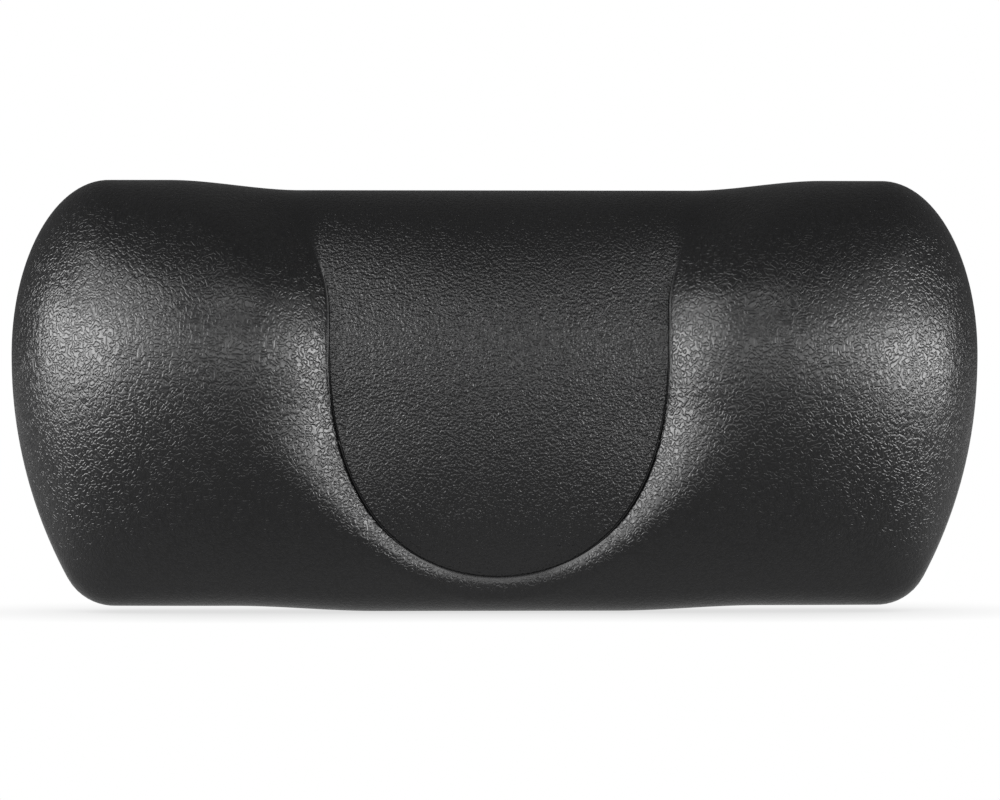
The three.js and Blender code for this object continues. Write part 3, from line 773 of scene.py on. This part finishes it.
def well_profile(rim, floor, bore, grow=0.0, mouth_round=0.0, floor_round=0.0):
    """A well from its rim on the back panel to its floor: radius and distance from the wall."""
    panel = -SPINE_PLANE - BACK_REACH + grow
    mouth = WELL_RADIUS + grow
    foot = mouth - WELL_DRAFT * (floor - panel) / WELL_DEPTH
    return rounded((rim, panel), (mouth, panel, mouth_round), (foot, floor, floor_round), (bore, floor))


def lined(vertices, on_rim, profile, axis_x):
    """Closes the open circle about an axis with a revolved profile. Gives its vertices and all the new faces.

    The joining faces run between the grid's circle and the profile's first ring, two sorted rings of
    points: each edge of one goes to the point of the other that is level with its middle.
    """
    own, faces = revolved(profile, axis_x)
    rim = np.flatnonzero(on_rim & (vertices[:, 0] * axis_x > 0))
    angle = np.mod(np.arctan2(vertices[rim, 2], vertices[rim, 0] - axis_x), FULL_TURN)
    order = np.argsort(angle)
    rim, angle = rim[order], angle[order]
    middle = (angle + np.append(angle[1:], angle[0] + FULL_TURN)) / 2
    ring_middle = RING_ANGLES + FULL_TURN / ROUND_STEPS / 2
    to_ring = np.searchsorted(ring_middle, middle, "left") % ROUND_STEPS + len(vertices)
    to_rim = np.searchsorted(middle, ring_middle, "right") % len(rim)
    number = np.arange(ROUND_STEPS) + len(vertices)
    from_rim = np.stack((np.roll(rim, -1), rim, to_ring), -1)
    from_ring = np.stack((number, np.roll(number, -1), rim[to_rim]), -1)
    return own, np.concatenate((faces + len(vertices), from_rim, from_ring))


def with_wells(vertices, grid, profile):
    """Closes a grid's open circles with one profile. Gives vertices, faces and the profile's last rings."""
    faces, on_rim, last_rings = grid["triangles"], grid["on_rim"], []
    for axis_x in (-cup_x, cup_x):
        own, more = lined(vertices, on_rim, profile, axis_x)
        vertices, faces = np.concatenate((vertices, own)), np.concatenate((faces, more))
        on_rim = np.append(on_rim, np.zeros(len(own), bool))
        last_rings.append(np.arange(len(vertices) - ROUND_STEPS, len(vertices)))
    return vertices, faces, last_rings


def open_cell_foam():
    """Charcoal polyurethane foam: round open pores of two sizes, their hollows painted darker as shade, and a
    soft mottling.
    """
    material, tree, shader, place = principled("charcoal_foam", {"Roughness": FOAM_ROUGHNESS})
    mottle = noise(tree, place, FOAM_MOTTLE_SCALE, 4.0)
    pores = texture(tree, "Voronoi", place, PORE_SCALE, "Distance")
    fine = texture(tree, "Voronoi", place, FINE_PORE_SCALE, "Distance")
    # Painted shade: each pore's hollow is coloured darker than the ridges round it, mottled at random.
    share = math_node(tree, "MULTIPLY", ramp_node(tree, pores, *PORE_SHADE_STOPS), mottle)
    feed(tree, shader.inputs["Base Color"], blend(tree, share, PORE_SHADE_TONE, PORE_TONE, "RGBA"))
    add_bump(tree, shader, ramp_node(tree, fine, *FINE_PORE_STOPS, 0.0, 1.0), FINE_PORE_DEPTH)
    add_bump(tree, shader, ramp_node(tree, pores, *PORE_STOPS, 0.0, 1.0), PORE_DEPTH)
    return material


cup_x = fixing("suction_cup_right")[0]
_, disc_back, boss_front, disc_radius = fixing("anchor_disc_right")
disc_front = disc_back + DISC_THICKNESS
boss = fixing("tee_nut_right")[3] + SOCKET_PLAY + SOCKET_WALL
core_inset = SKIN_THICKNESS + LAYER_PLAY
core_rim = WELL_RADIUS + core_inset + RIM_MARGIN
core = pillow_grid(CORE_MIDDLE_STEPS, CORE_END_STEPS, even_places(CORE_STRETCH_STEPS), core_rim)
core_well = (
    *well_profile(core_rim - RIM_MARGIN / 2, disc_back - LAYER_PLAY, disc_radius, core_inset)[:-1],
    (disc_radius + LAYER_PLAY, disc_back - LAYER_PLAY),
    (disc_radius + LAYER_PLAY, disc_front + LAYER_PLAY),
    (boss + LAYER_PLAY, disc_front + LAYER_PLAY),
    (boss + LAYER_PLAY, boss_front + LAYER_PLAY),
    (0.0, boss_front + LAYER_PLAY),
)
core_points, core_faces, _ = with_wells(moved_in(core, core_inset), core, core_well)
peg_radius = DISC_HOLE_RADIUS - LAYER_PLAY
peg_root = disc_front + 4 * LAYER_PLAY
peg_end = rounded((peg_radius, peg_root), (peg_radius, disc_back, EDGE_ROUND), (0.0, disc_back))
peg = ((0.0, peg_root), *peg_end)
pegs = []
for axis_x in (-cup_x, cup_x):
    for turn in DISC_HOLE_TURNS:
        peg_points, peg_faces = revolved(peg, axis_x + DISC_HOLE_CIRCLE * math.cos(turn))
        pegs.append((peg_points + (0.0, 0.0, DISC_HOLE_CIRCLE * math.sin(turn)), peg_faces))
foam_shape = joined((core_points, core_faces), *pegs)
foam = add_piece("poured_foam", foam_shape, open_cell_foam(), "pillow", "foam_core")

# Skin
# The leathery outside of the moulding, which the foam forms against the mould: coarse grain on the
# lobes, fine grain in the neck scoop, a crisp crease between them and smooth wells in the flat back.
# A thin ridge runs round the back where the mould's lid closed on its bowl.
SKIN_MIDDLE_STEPS = 160
SKIN_END_STEPS = 50
SKIN_STRETCH_STEPS = (58, 20, 14, 22, 84, 70, 28)
INNER_MIDDLE_STEPS = 70
INNER_END_STEPS = 22
INNER_STRETCH_STEPS = (24, 10, 6, 10, 36, 32, 14)
STRETCH_LENGTHS = (0.092, 0.030, 0.010, 0.012, 0.080, 0.082, 0.039)
RIDGE_HEIGHT = 0.00035
RIDGE_HALF_WIDTH = 0.0009
RIDGE_ROWS = (0.0, 0.0003, 0.0006, 0.0009, 0.0013)
RIDGE_CLEARANCE = 1.4
CREASE_DEPTH = 0.00003
CREASE_HALF_WIDTH = 0.00018
CREASE_FADE = (0.004, 0.020)
CRISP_CREASE = 0.02
CRISP_SHOULDER = 0.3
WELL_MOUTH_ROUND = 0.0015
WELL_FLOOR_ROUND = 0.0012
SKIN_TONE = (0.0062, 0.0062, 0.0068, 1.0)
FADED_TONE = (0.0098, 0.0098, 0.0102, 1.0)
FURROW_SHADE_TONE = (0.0045, 0.0045, 0.0048, 1.0)
FURROW_CELL = 0.00125
FURROW_WARP_CELL = 0.0020
FURROW_WARP = 0.0004
FURROW_REACH = 0.16
FURROW_DEPTH = 0.00008
SWELL_CELL = 0.0016
SWELL_DEPTH = 0.00011
FINE_GRAIN_CELL = 0.00078
FINE_GRAIN_DEPTH = 0.00055
FINE_GRAIN_CROWNS = (0.3, 0.5)
FINE_GRAIN_STOPS = (-0.0007, -0.0002)
COARSE_GRAIN_STARTS = (0.0002, 0.0010)
SOFT_FINE_STOPS = (-0.009, 0.004)
SOFT_COARSE_STARTS = (-0.004, 0.009)
GRAIN_EDGE_SOFTENS = (0.030, 0.062)
GRAIN_FADE_FOOT = (-0.066, -0.040)
FOOT_GRAIN = 0.5
SKIN_ROUGHNESS = (0.22, 0.26)
FURROW_ROUGHNESS = 0.32
SKIN_SHEEN = 0.62
MOTTLE_SCALE = 22.0


def ridge(x, place):
    """How far the mould's parting line stands out: a rounded thread along both edges of the back panel."""
    stretch = np.clip(np.floor(place), 0, 6).astype(int)
    t = place - stretch
    length = np.array(STRETCH_LENGTHS)[stretch]
    to_start = np.where(stretch <= 1, t * length, HALF_LENGTH)
    to_end = np.where(stretch % 6 == 0, (1 - t) * length, HALF_LENGTH)
    away = np.minimum(to_start, to_end)
    swell = np.cos(QUARTER * np.clip(away / RIDGE_HALF_WIDTH, 0, 1)) ** 2
    return RIDGE_HEIGHT * swell * np.minimum(end_share(x, BACK_END_LENGTH) * 2, 1)


def skin_places():
    """Columns along the section: even in each stretch, and close together at the parting line."""
    fine = np.array(RIDGE_ROWS)
    rows = []
    for k, (steps, length) in enumerate(zip(SKIN_STRETCH_STEPS, STRETCH_LENGTHS)):
        t = np.arange(steps) / steps
        clear = fine[-1] / length * RIDGE_CLEARANCE
        if k in (0, 1):
            t = np.concatenate((fine / length, t[t > clear]))
        if k in (0, 6):
            t = np.concatenate((t[t < 1 - clear], 1 - fine[:0:-1] / length))
        rows.append(k + t)
    return np.concatenate(rows)


def with_shoulders(grid, half_width):
    """Splits the triangles at the crease so that a row of points runs close beside it on each side.

    Triangles with one corner on the crease start with it, those with two end with the third, and the
    edges between a corner on the crease and one off it each get a new point.
    """
    triangles, on = grid["triangles"], grid["on_crease"]
    count = on[triangles].sum(1)
    one, two = triangles[count == 1], triangles[count == 2]
    start_one, end_two = np.argmax(on[one], 1)[:, None], np.argmin(on[two], 1)[:, None]
    one = np.take_along_axis(one, (start_one + np.arange(3)) % 3, 1)
    two = np.take_along_axis(two, (end_two + 1 + np.arange(3)) % 3, 1)
    edges = np.concatenate((one[:, [0, 1]], one[:, [0, 2]], two[:, [0, 2]], two[:, [1, 2]]))
    total = len(on)
    keys, to = np.unique(edges[:, 0] * total + edges[:, 1], return_inverse=True)
    start, end = keys // total, keys % total
    ends = np.cumsum((len(one), len(one), len(two)))
    one_ahead, one_aside, two_aside, two_ahead = np.split(to.reshape(-1) + total, ends)
    share = np.clip(half_width / np.maximum(np.abs(grid["crease"][end]), TINY), 0.0, 0.5)
    split = {}
    for key in ("x", "place", "crease"):
        split[key] = np.append(grid[key], lerp(grid[key][start], grid[key][end], share))
    for key in ("on_crease", "on_rim"):
        split[key] = np.append(grid[key], np.zeros(len(keys), bool))
    split["on_shoulder"] = np.arange(total + len(keys)) >= total
    pieces = (
        (one[:, 0], one_ahead, one_aside),
        (one_ahead, one[:, 1], one[:, 2]),
        (one_ahead, one[:, 2], one_aside),
        (two[:, 0], two[:, 1], two_ahead),
        (two[:, 0], two_ahead, two_aside),
        (two_aside, two_ahead, two[:, 2]),
    )
    whole = triangles[(count == 0) | (count == 3)]
    split["triangles"] = np.concatenate((whole, *(np.stack(corners, -1) for corners in pieces)))
    return split


def warped(tree, place, scale, reach):
    """Coordinates pushed about by a noise, so that a pattern on them loses its even spacing."""
    drift = texture(tree, "Noise", place, scale, "Color", Detail=2.0)
    centred = add_node(tree, "VectorMath", {0: drift, 1: (0.5, 0.5, 0.5)}, operation="SUBTRACT").outputs[0]
    inputs = {0: centred, 1: (reach, reach, reach), 2: place}
    return add_node(tree, "VectorMath", inputs, operation="MULTIPLY_ADD").outputs[0]


def moulded_leather():
    """Black self-skinned foam with a leather grain, whose height is in metres.

    On the lobes furrows run where a noise passes its middle value, so they wander like a maze, with
    rounded crowns between them and a soft swell under both. Inside the crease the grain is a finer
    noise, and towards the brow the two grains run into each other. Furrows, and the fine grain's pits,
    are duller than crowns and painted blacker as painted shade, and both have a soft mottling.
    """
    material, tree, shader, place = principled("black_leather_grain", {"Specular IOR Level": SKIN_SHEEN})
    crease, crisp_grain = (
        add_node(tree, "Attribute", attribute_name=name).outputs["Fac"] for name in ("crease", "crisp_grain")
    )

    def grain_edge(soft, crisp):
        return [blend(tree, crisp_grain, low, high) for low, high in zip(soft, crisp)]

    on_lobe = ramp_node(tree, crease, *grain_edge(SOFT_COARSE_STARTS, COARSE_GRAIN_STARTS), 0.0, 1.0)
    in_scoop = ramp_node(tree, crease, *grain_edge(SOFT_FINE_STOPS, FINE_GRAIN_STOPS), 1.0, 0.0)
    pushed = warped(tree, place, 1 / FURROW_WARP_CELL, FURROW_WARP)
    wander = noise(tree, pushed, 1 / FURROW_CELL, 0.0)
    off_middle = math_node(tree, "ABSOLUTE", math_node(tree, "SUBTRACT", wander, 0.5))
    beside = ramp_node(tree, off_middle, 0.0, FURROW_REACH, 0.0, 1.0)
    swell = noise(tree, place, 1 / SWELL_CELL, 0.0)
    swells = math_node(tree, "MULTIPLY", swell, SWELL_DEPTH)
    coarse = math_node(tree, "MULTIPLY_ADD", beside, FURROW_DEPTH, swells)
    specks = noise(tree, place, 1 / FINE_GRAIN_CELL, 1.0)
    fine = math_node(tree, "MULTIPLY", specks, FINE_GRAIN_DEPTH)
    height = math_node(tree, "MULTIPLY_ADD", coarse, on_lobe, math_node(tree, "MULTIPLY", fine, in_scoop))
    up = add_node(tree, "SeparateXYZ", {0: place}).outputs["Z"]
    worn = ramp_node(tree, up, *GRAIN_FADE_FOOT, FOOT_GRAIN, 1.0)
    add_bump(tree, shader, math_node(tree, "MULTIPLY", height, worn), 1.0)
    mottle = noise(tree, place, MOTTLE_SCALE, 5.0)
    crown = blend(tree, on_lobe, ramp_node(tree, specks, *FINE_GRAIN_CROWNS, 0.0, 1.0), beside)
    gloss = ramp_node(tree, mottle, *NOISE_SPREAD, *SKIN_ROUGHNESS)
    feed(tree, shader.inputs["Roughness"], blend(tree, crown, FURROW_ROUGHNESS, gloss))
    tone = blend(tree, mottle, SKIN_TONE, FADED_TONE, "RGBA")
    # Painted shade: furrows and the fine grain's pits are coloured blacker than the crowns.
    feed(tree, shader.inputs["Base Color"], blend(tree, crown, FURROW_SHADE_TONE, tone, "RGBA"))
    return material


well_floor = WELL_DEPTH - SPINE_PLANE - BACK_REACH
hole_radius = NUT_BARREL_RADIUS + LAYER_PLAY
outer_rim = WELL_RADIUS + WELL_MOUTH_ROUND + RIM_MARGIN
outer_grid = pillow_grid(SKIN_MIDDLE_STEPS, SKIN_END_STEPS, skin_places(), outer_rim)
outer = with_shoulders(outer_grid, CREASE_HALF_WIDTH)
outer_climb = np.nan_to_num(section(outer["place"])[4], nan=BROW_GIRTH)
crisp = 1 - smooth(outer_climb, *CREASE_FADE)
sunk = CREASE_DEPTH * crisp * outer["on_crease"] - ridge(outer["x"], outer["place"])
outer_well = well_profile(
    outer_rim - RIM_MARGIN, well_floor, hole_radius, 0.0, WELL_MOUTH_ROUND, WELL_FLOOR_ROUND
)
outer_points = pillow_surface(outer["x"], outer["place"], sunk)
outer_points, outer_faces, outer_rings = with_wells(outer_points, outer, outer_well[1:])
inner_rim = WELL_RADIUS + SKIN_THICKNESS + RIM_MARGIN
inner = pillow_grid(INNER_MIDDLE_STEPS, INNER_END_STEPS, even_places(INNER_STRETCH_STEPS), inner_rim)
inner_well = well_profile(
    inner_rim - RIM_MARGIN / 2, well_floor + SKIN_THICKNESS, hole_radius, SKIN_THICKNESS
)
inner_points = moved_in(inner, SKIN_THICKNESS)
inner_points, inner_faces, inner_rings = with_wells(inner_points, inner, inner_well)
shift = len(outer_points)
hole_bands = [band_faces(np.stack((ring, far + shift))) for ring, far in zip(outer_rings, inner_rings)]
skin_points = np.concatenate((outer_points, inner_points))
skin_faces = np.concatenate((outer_faces, *hole_bands, inner_faces[:, ::-1] + shift))
skin_shape = (skin_points, skin_faces)
skin = add_piece("grained_skin", skin_shape, moulded_leather(), "pillow", "outer_skin", bend=None)
beyond = len(skin_points) - len(outer["x"])
crisp_grain = 1 - smooth(outer_climb, *GRAIN_EDGE_SOFTENS)
for name, on_outer, elsewhere in (("crease", outer["crease"], 0.0), ("crisp_grain", crisp_grain, 1.0)):
    attribute = skin.data.attributes.new(name, "FLOAT", "POINT")
    values = np.append(on_outer, np.full(beyond, elsewhere))
    attribute.data.foreach_set("value", values.astype(np.float32))
skin_edges = np.empty(len(skin.data.edges) * 2, int)
skin.data.edges.foreach_get("vertices", skin_edges)
sharp = np.zeros(len(skin.data.edges), bool)
for line, least in (("on_crease", CRISP_CREASE), ("on_shoulder", CRISP_SHOULDER)):
    on_line = np.append(outer[line] & (crisp > least), np.zeros(beyond, bool))
    sharp |= on_line[skin_edges.reshape(-1, 2)].all(1)
skin.data.attributes.new("sharp_edge", "BOOLEAN", "EDGE").data.foreach_set("value", sharp)

# Washers
# A flat zinc-plated washer on each stud, between the well's floor and the cup's hub. It is stamped
# from sheet and its edges are tumbled round.
WASHER_ROUND = 0.0002
for side in SIDES:
    axis_x, washer_back, washer_front, washer_radius = fixing("washer_" + side)
    inside = (NUT_BORE_RADIUS, (washer_back + washer_front) / 2)
    profile = rounded(
        inside,
        (NUT_BORE_RADIUS, washer_front, WASHER_ROUND),
        (washer_radius, washer_front, WASHER_ROUND),
        (washer_radius, washer_back, WASHER_ROUND),
        (NUT_BORE_RADIUS, washer_back, WASHER_ROUND),
        inside,
    )
    washer = revolved(profile[:-1], axis_x, closed=True)
    add_piece("flat_washer_" + side, washer, steel, side + "_washer", "washer_" + side)

# Studs
# A zinc-plated steel stud with a flat head that is moulded into the cup's hub and an M6 thread of
# 1 mm pitch, so that one turn of the cup draws it 1 mm towards the pillow.
STUD_SHANK_RADIUS = 0.00275
STUD_CREST_RADIUS = 0.00295
STUD_ROOT_RADIUS = 0.00242
STUD_FLANK_STEEPNESS = 2.6
STUD_ROOT_FLAT = 0.3
STUD_HEAD_THICKNESS = 0.0016
STUD_CHAMFER = 0.0006
HUB_DEPTH = 0.0022
for side in SIDES:
    axis_x, head_back, tip, head_radius = fixing("stud_" + side)
    head_front = head_back + STUD_HEAD_THICKNESS
    thread_start = head_front + HUB_DEPTH
    row_count = int((tip - thread_start) / THREAD_PITCH * THREAD_ROWS_PER_TURN) + 1
    rows = np.linspace(thread_start, tip, row_count)[::-1]
    phase = np.mod(rows[:, None] / THREAD_PITCH - RING_TURNS, 1.0)
    flank = np.clip(np.abs(phase - 0.5) * STUD_FLANK_STEEPNESS - STUD_ROOT_FLAT, 0.0, 1.0)
    thread = lerp(STUD_ROOT_RADIUS, STUD_CREST_RADIUS, flank)
    run_out = smooth(rows, thread_start, thread_start + THREAD_PITCH)[:, None]
    thread = lerp(STUD_SHANK_RADIUS, thread, run_out)
    thread = np.minimum(thread, STUD_CREST_RADIUS - STUD_CHAMFER + (tip - rows)[:, None])
    head = rounded(
        (STUD_SHANK_RADIUS, thread_start - EDGE_ROUND),
        (STUD_SHANK_RADIUS, head_front, EDGE_ROUND),
        (head_radius, head_front, EDGE_ROUND),
        (head_radius, head_back, EDGE_ROUND),
        (0.0, head_back),
    )
    stud = revolved(((0.0, tip), *zip(thread, rows), *head), axis_x)
    add_piece("threaded_stud_" + side, stud, steel, side + "_cup", "stud_" + side)

# Suction cups
# A clear soft vinyl cup at each end: a thick hub moulded round the stud's head, a skirt that thins
# towards its rim, and a narrow flat lip that seals on the bath's wall.
CUP_LIP_WIDTH = 0.0025
CUP_LIP_EDGE = 0.0009
CUP_LIP_EDGE_STEPS = 8
CUP_DISH_DEPTH = 0.007
CUP_DISH_ROWS = 28
CUP_WALL = 0.0022
CUP_HUB_RADIUS = 0.0075
CUP_HUB_ROUND = 0.00075
CUP_HUB_FOOT_ROUND = 0.0012
CUP_HUB_FOOT_RISE = 0.0001
CUP_SKIRT_START = 0.009
HEAD_PLAY = 0.00002
VINYL_TONE = (0.86, 0.93, 0.94, 1.0)
VINYL_IOR = 1.53
VINYL_CLARITY = 0.92
VINYL_HAZE_SCALE = 140.0
VINYL_GLOSS = (0.07, 0.2)
VINYL_WAVE_SCALE = 260.0
VINYL_WAVE_DEPTH = 0.00015


def clear_vinyl():
    """Soft clear PVC: slightly blue, glossy with a faint haze, and wavy as such mouldings are."""
    inputs = {"Base Color": VINYL_TONE, "IOR": VINYL_IOR, "Transmission Weight": VINYL_CLARITY}
    material, tree, shader, place = principled("clear_soft_vinyl", inputs)
    haze = noise(tree, place, VINYL_HAZE_SCALE, 3.0)
    feed(tree, shader.inputs["Roughness"], ramp_node(tree, haze, *NOISE_SPREAD, *VINYL_GLOSS))
    waves = noise(tree, place, VINYL_WAVE_SCALE, 2.0)
    add_bump(tree, shader, waves, VINYL_WAVE_DEPTH)
    return material


vinyl = clear_vinyl()
for side in SIDES:
    axis_x, lip_back, hub_top, cup_radius = fixing("suction_cup_" + side)
    _, head_back, _, head_radius = fixing("stud_" + side)
    pocket_back = head_back - HEAD_PLAY
    pocket_front = head_back + STUD_HEAD_THICKNESS + HEAD_PLAY
    pocket_radius = head_radius + HEAD_PLAY
    hub_bore = STUD_CREST_RADIUS + HEAD_PLAY
    dish_radius = cup_radius - CUP_LIP_WIDTH
    half_edge = CUP_LIP_EDGE / 2
    share = np.linspace(0.0, 1.0, CUP_DISH_ROWS)
    outward = lerp(CUP_SKIRT_START, cup_radius - half_edge, share)
    dish = CUP_DISH_DEPTH * np.maximum(1 - (outward / dish_radius) ** 2, 0.0)
    skirt = np.stack((outward, lip_back + dish + lerp(CUP_WALL, CUP_LIP_EDGE, share)), -1)
    inward = dish_radius * (1 - share)
    hollow = np.stack((inward, lip_back + CUP_DISH_DEPTH * (1 - (inward / dish_radius) ** 2)), -1)
    hub = rounded(
        (0.0, pocket_back),
        (pocket_radius, pocket_back, EDGE_ROUND),
        (pocket_radius, pocket_front, EDGE_ROUND),
        (hub_bore, pocket_front, 0.0),
        (hub_bore, hub_top, EDGE_ROUND),
        (CUP_HUB_RADIUS, hub_top, CUP_HUB_ROUND),
        (CUP_HUB_RADIUS, skirt[0, 1] + CUP_HUB_FOOT_RISE, CUP_HUB_FOOT_ROUND),
        tuple(skirt[0]),
    )
    turn = np.linspace(QUARTER, -QUARTER, CUP_LIP_EDGE_STEPS + 1)[1:]
    edge_radius = cup_radius - half_edge + half_edge * np.cos(turn)
    edge = np.stack((edge_radius, lip_back + half_edge * (1 + np.sin(turn))), -1)
    cup = revolved(np.concatenate((hub, skirt[1:], edge, hollow)), axis_x)
    add_piece("vinyl_cup_" + side, cup, vinyl, side + "_cup", "suction_cup_" + side)
